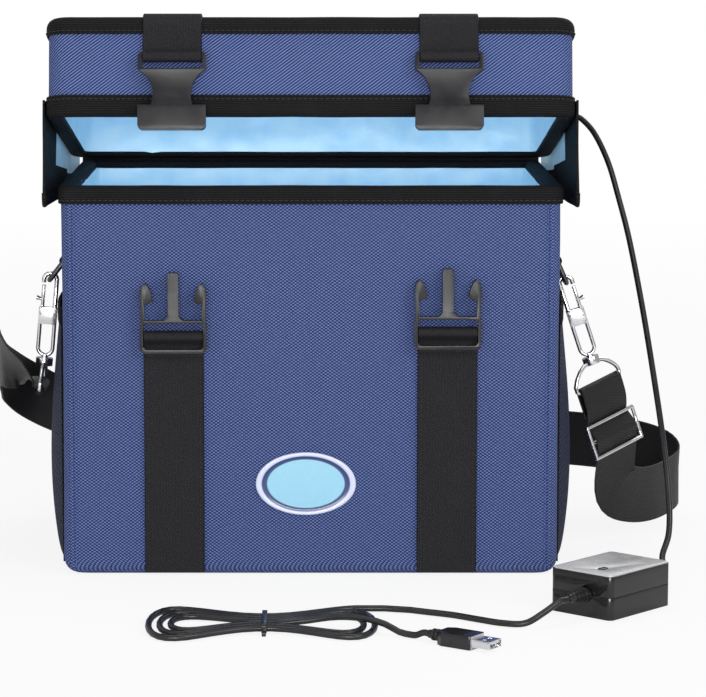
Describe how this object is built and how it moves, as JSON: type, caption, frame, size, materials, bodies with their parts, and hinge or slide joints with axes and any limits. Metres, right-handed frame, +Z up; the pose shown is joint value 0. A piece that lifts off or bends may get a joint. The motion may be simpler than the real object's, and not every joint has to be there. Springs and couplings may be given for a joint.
{
  "type": "soft ultraviolet sterilising case",
  "caption": "Soft fabric case with a foil lined box lid holding ultraviolet tubes, side release buckles, side pockets, a shoulder strap on snap hooks, and a corded control box with a plug.",
  "frame": {"origin": "centre of the base's underside, without the strap, pockets and cords", "axes": "+X to the right as seen from the front, +Y towards the rear, +Z up"},
  "size_m": [0.466, 0.4451, 0.3512],
  "materials": {
    "navy_fabric": "woven nylon with a light blue fleck",
    "mesh": "dark open mesh",
    "webbing": "black satin webbing and binding tape",
    "foam": "closed cell foam sheet",
    "foil": "crinkled pale blue foil",
    "badge": "glossy oval patch, bare",
    "buckle_plastic": "dark moulded acetal",
    "chrome_wire": "polished plating",
    "lamp_reflector": "bright sheet",
    "lamp_glass": "clear quartz",
    "white_plastic": "white moulding",
    "cord_sheath": "black flexible sheath",
    "box_black": "glossy black housing",
    "box_grey": "light grey top",
    "plug_black": "black grip with a steel shell"
  },
  "bodies": {
    "case": {"front_panel": "navy_fabric", "rear_panel": "navy_fabric", "side_panel_left": "navy_fabric", "side_panel_right": "navy_fabric", "base_panel": "navy_fabric", "foam_walls": "foam", "foil_liner": "foil", "rim_binding": "webbing", "hinge_strip": "webbing", "body_strap_left": "webbing", "body_strap_right": "webbing", "badge": "badge", "pocket_left": "mesh", "pocket_right": "mesh", "pocket_bindings": "webbing", "ring_tab_left": "webbing", "ring_tab_right": "webbing", "shoulder_strap": "webbing", "lamp_cord": "cord_sheath", "usb_lead": "cord_sheath", "usb_hank": "cord_sheath", "usb_tail": "cord_sheath", "hank_tie": "cord_sheath", "control_box": "box_black", "box_cover": "box_black", "usb_plug": "plug_black"},
    "lid": {"lid_top_panel": "navy_fabric", "lid_front_panel": "navy_fabric", "lid_rear_panel": "navy_fabric", "lid_side_left": "navy_fabric", "lid_side_right": "navy_fabric", "lid_foam": "foam", "lid_liner": "foil", "lid_top_binding": "webbing", "lid_lower_binding": "webbing", "side_flap_left": "webbing", "side_flap_right": "webbing", "lid_strap_left": "webbing", "lid_strap_right": "webbing", "lamp_tray": "lamp_reflector", "lamp_tubes": "lamp_glass", "lamp_holders": "white_plastic", "lamp_guard": "chrome_wire", "cord_gland": "cord_sheath"},
    "socket_left": {"socket_left": "buckle_plastic"},
    "socket_right": {"socket_right": "buckle_plastic"},
    "tongue_left": {"strap_loop_left": "webbing", "tongue_left": "buckle_plastic"},
    "tongue_right": {"strap_loop_right": "webbing", "tongue_right": "buckle_plastic"},
    "ring_left": {"d_ring_left": "buckle_plastic"},
    "ring_right": {"d_ring_right": "buckle_plastic"},
    "hook_left": {"snap_hook_left": "chrome_wire"},
    "hook_right": {"snap_hook_right": "chrome_wire"},
    "gate_left": {"hook_gate_left": "chrome_wire"},
    "gate_right": {"hook_gate_right": "chrome_wire"},
    "swivel_left": {"swivel_frame_left": "chrome_wire"},
    "swivel_right": {"swivel_frame_right": "chrome_wire", "strap_adjuster": "chrome_wire"},
    "button": {"box_button": "box_grey"}
  },
  "joints": [
    {"name": "lid_hinge", "type": "hinge", "parent": "case", "child": "lid", "pos_m": [0, 0.1075, 0.2459], "axis": [-1, 0, 0], "range_deg": [-11.3, 98.7], "deforming": ["hinge_strip", "lamp_cord"]},
    {"name": "socket_swing_left", "type": "hinge", "parent": "lid", "child": "socket_left", "pos_m": [-0.0855, -0.10434, 0.32535], "axis": [-1, 0, 0], "range_deg": [0, 120]},
    {"name": "socket_swing_right", "type": "hinge", "parent": "lid", "child": "socket_right", "pos_m": [0.0855, -0.10434, 0.32535], "axis": [-1, 0, 0], "range_deg": [0, 120]},
    {"name": "tongue_swing_left", "type": "hinge", "parent": "case", "child": "tongue_left", "pos_m": [-0.0855, -0.1067, 0.1381], "axis": [1, 0, 0], "range_deg": [0, 110]},
    {"name": "tongue_swing_right", "type": "hinge", "parent": "case", "child": "tongue_right", "pos_m": [0.0855, -0.1067, 0.1406], "axis": [1, 0, 0], "range_deg": [0, 110]},
    {"name": "ring_swing_left", "type": "hinge", "parent": "case", "child": "ring_left", "pos_m": [-0.161, 0, 0.188], "axis": [0, 1, 0], "range_deg": [0, 60], "deforming": ["shoulder_strap"]},
    {"name": "ring_swing_right", "type": "hinge", "parent": "case", "child": "ring_right", "pos_m": [0.161, 0, 0.188], "axis": [0, -1, 0], "range_deg": [0, 60]},
    {"name": "hook_swing_left", "type": "hinge", "parent": "ring_left", "child": "hook_left", "pos_m": [-0.17085, 0, 0.17539], "axis": [0, 1, 0], "range_deg": [0, 40]},
    {"name": "hook_swing_right", "type": "hinge", "parent": "ring_right", "child": "hook_right", "pos_m": [0.16751, 0, 0.17338], "axis": [0, -1, 0], "range_deg": [0, 40]},
    {"name": "swivel_turn_left", "type": "hinge", "parent": "hook_left", "child": "swivel_left", "pos_m": [-0.17573, 0, 0.11961], "axis": [0.0872, 0, 0.9962], "range_deg": [-12, 12]},
    {"name": "swivel_turn_right", "type": "hinge", "parent": "hook_right", "child": "swivel_right", "pos_m": [0.18528, 0, 0.12028], "axis": [-0.3173, 0, 0.9483], "range_deg": [0, 50]},
    {"name": "gate_left", "type": "hinge", "parent": "hook_left", "child": "gate_left", "pos_m": [-0.17649, 0, 0.15681], "axis": [0, 1, 0], "range_deg": [0, 18], "stiffness_Nm_per_rad": 0.01},
    {"name": "gate_right", "type": "hinge", "parent": "hook_right", "child": "gate_right", "pos_m": [0.17733, 0, 0.15663], "axis": [0, -1, 0], "range_deg": [0, 18], "stiffness_Nm_per_rad": 0.01},
    {"name": "button_press", "type": "slide", "parent": "case", "child": "button", "axis": [0, 0, -1], "range_m": [0, 0.0008], "stiffness_N_per_m": 400}
  ]
}
